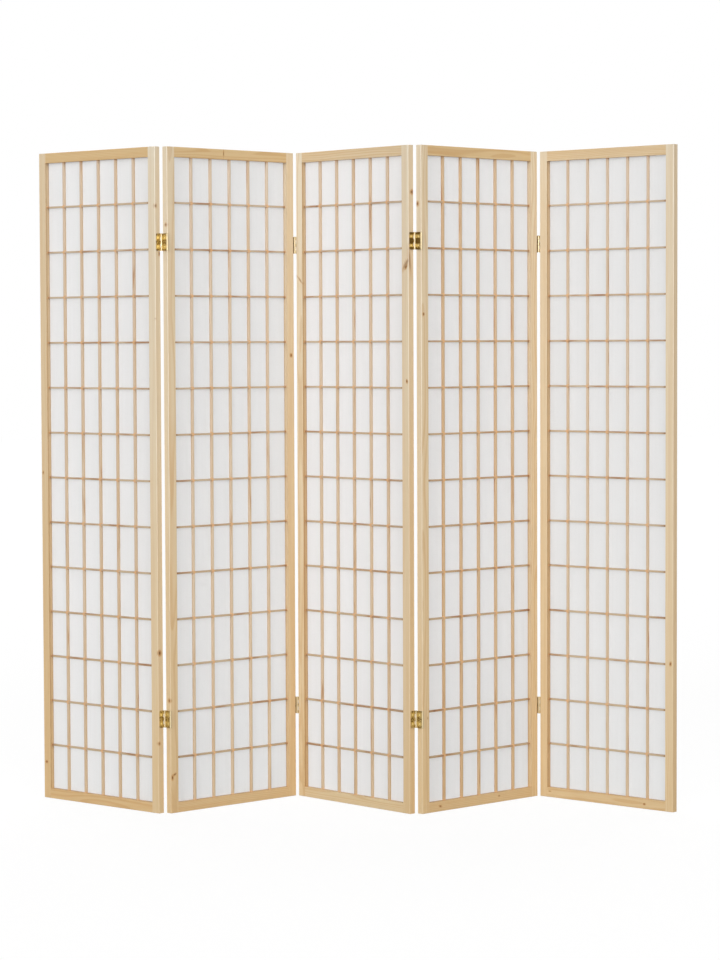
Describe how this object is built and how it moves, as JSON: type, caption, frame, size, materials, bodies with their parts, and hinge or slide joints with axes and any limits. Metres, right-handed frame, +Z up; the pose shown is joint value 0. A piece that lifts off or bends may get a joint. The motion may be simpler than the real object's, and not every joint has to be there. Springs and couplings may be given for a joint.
{
  "type": "folding screen",
  "caption": "Free-standing folding screen of wooden lattice panels backed with paper, joined by two-way hinges into a zigzag.",
  "frame": {"origin": "on the floor, in the middle of the zigzag's plan", "axes": "+Z up, +X to the right as the lattice side is seen, +Y to the back, where the paper is glued"},
  "size_m": [1.724, 0.3534, 1.78],
  "materials": {
    "frame_pine": "planed pine, clear satin coat",
    "lattice_pine": "planed pine strips, clear satin coat",
    "paper": "matt fibrous off-white paper",
    "hinge_brass": "bright brass-plated sheet",
    "screw_brass": "bright brass-plated screws"
  },
  "bodies": {
    "panel_1": {"left_stile_1": "frame_pine", "right_stile_1": "frame_pine", "top_rail_1": "frame_pine", "bottom_rail_1": "frame_pine", "lattice_rails_1": "lattice_pine", "lattice_stiles_1": "lattice_pine", "paper_1": "paper", "hinge_left_leaf_12": "hinge_brass", "left_screws_12": "screw_brass"},
    "panel_2": {"left_stile_2": "frame_pine", "right_stile_2": "frame_pine", "top_rail_2": "frame_pine", "bottom_rail_2": "frame_pine", "lattice_rails_2": "lattice_pine", "lattice_stiles_2": "lattice_pine", "paper_2": "paper", "hinge_right_leaf_12": "hinge_brass", "right_screws_12": "screw_brass", "hinge_left_leaf_23": "hinge_brass", "left_screws_23": "screw_brass"},
    "panel_3": {"left_stile_3": "frame_pine", "right_stile_3": "frame_pine", "top_rail_3": "frame_pine", "bottom_rail_3": "frame_pine", "lattice_rails_3": "lattice_pine", "lattice_stiles_3": "lattice_pine", "paper_3": "paper", "hinge_right_leaf_23": "hinge_brass", "right_screws_23": "screw_brass", "hinge_left_leaf_34": "hinge_brass", "left_screws_34": "screw_brass"},
    "panel_4": {"left_stile_4": "frame_pine", "right_stile_4": "frame_pine", "top_rail_4": "frame_pine", "bottom_rail_4": "frame_pine", "lattice_rails_4": "lattice_pine", "lattice_stiles_4": "lattice_pine", "paper_4": "paper", "hinge_right_leaf_34": "hinge_brass", "right_screws_34": "screw_brass", "hinge_left_leaf_45": "hinge_brass", "left_screws_45": "screw_brass"},
    "panel_5": {"left_stile_5": "frame_pine", "right_stile_5": "frame_pine", "top_rail_5": "frame_pine", "bottom_rail_5": "frame_pine", "lattice_rails_5": "lattice_pine", "lattice_stiles_5": "lattice_pine", "paper_5": "paper", "hinge_right_leaf_45": "hinge_brass", "right_screws_45": "screw_brass"},
    "link_12": {"hinge_middle_leaf_12": "hinge_brass", "hinge_pins_12": "hinge_brass"},
    "link_23": {"hinge_middle_leaf_23": "hinge_brass", "hinge_pins_23": "hinge_brass"},
    "link_34": {"hinge_middle_leaf_34": "hinge_brass", "hinge_pins_34": "hinge_brass"},
    "link_45": {"hinge_middle_leaf_45": "hinge_brass", "hinge_pins_45": "hinge_brass"}
  },
  "joints": [
    {"name": "fold_23_front", "type": "hinge", "parent": "panel_3", "child": "link_23", "pos_m": [-0.15991, 0.15616, 0.89], "axis": [0, 0, 1], "range_deg": [-89.5, 88.5]},
    {"name": "fold_23_back", "type": "hinge", "parent": "link_23", "child": "panel_2", "pos_m": [-0.1764, 0.17415, 0.89], "axis": [0, 0, 1], "range_deg": [-178, 0]},
    {"name": "fold_12_front", "type": "hinge", "parent": "panel_2", "child": "link_12", "pos_m": [-0.49169, -0.14785, 0.89], "axis": [0, 0, -1], "range_deg": [-178, 0]},
    {"name": "fold_12_back", "type": "hinge", "parent": "link_12", "child": "panel_1", "pos_m": [-0.50817, -0.12986, 0.89], "axis": [0, 0, -1], "range_deg": [-83, 95]},
    {"name": "fold_34_back", "type": "hinge", "parent": "panel_3", "child": "link_34", "pos_m": [0.16483, -0.15631, 0.89], "axis": [0, 0, 1], "range_deg": [-90, 88]},
    {"name": "fold_34_front", "type": "hinge", "parent": "link_34", "child": "panel_4", "pos_m": [0.18147, -0.17415, 0.89], "axis": [0, 0, 1], "range_deg": [-178, 0]},
    {"name": "fold_45_back", "type": "hinge", "parent": "panel_4", "child": "link_45", "pos_m": [0.49394, 0.15059, 0.89], "axis": [0, 0, -1], "range_deg": [-178, 0]},
    {"name": "fold_45_front", "type": "hinge", "parent": "link_45", "child": "panel_5", "pos_m": [0.51058, 0.13275, 0.89], "axis": [0, 0, -1], "range_deg": [-84, 94]}
  ]
}
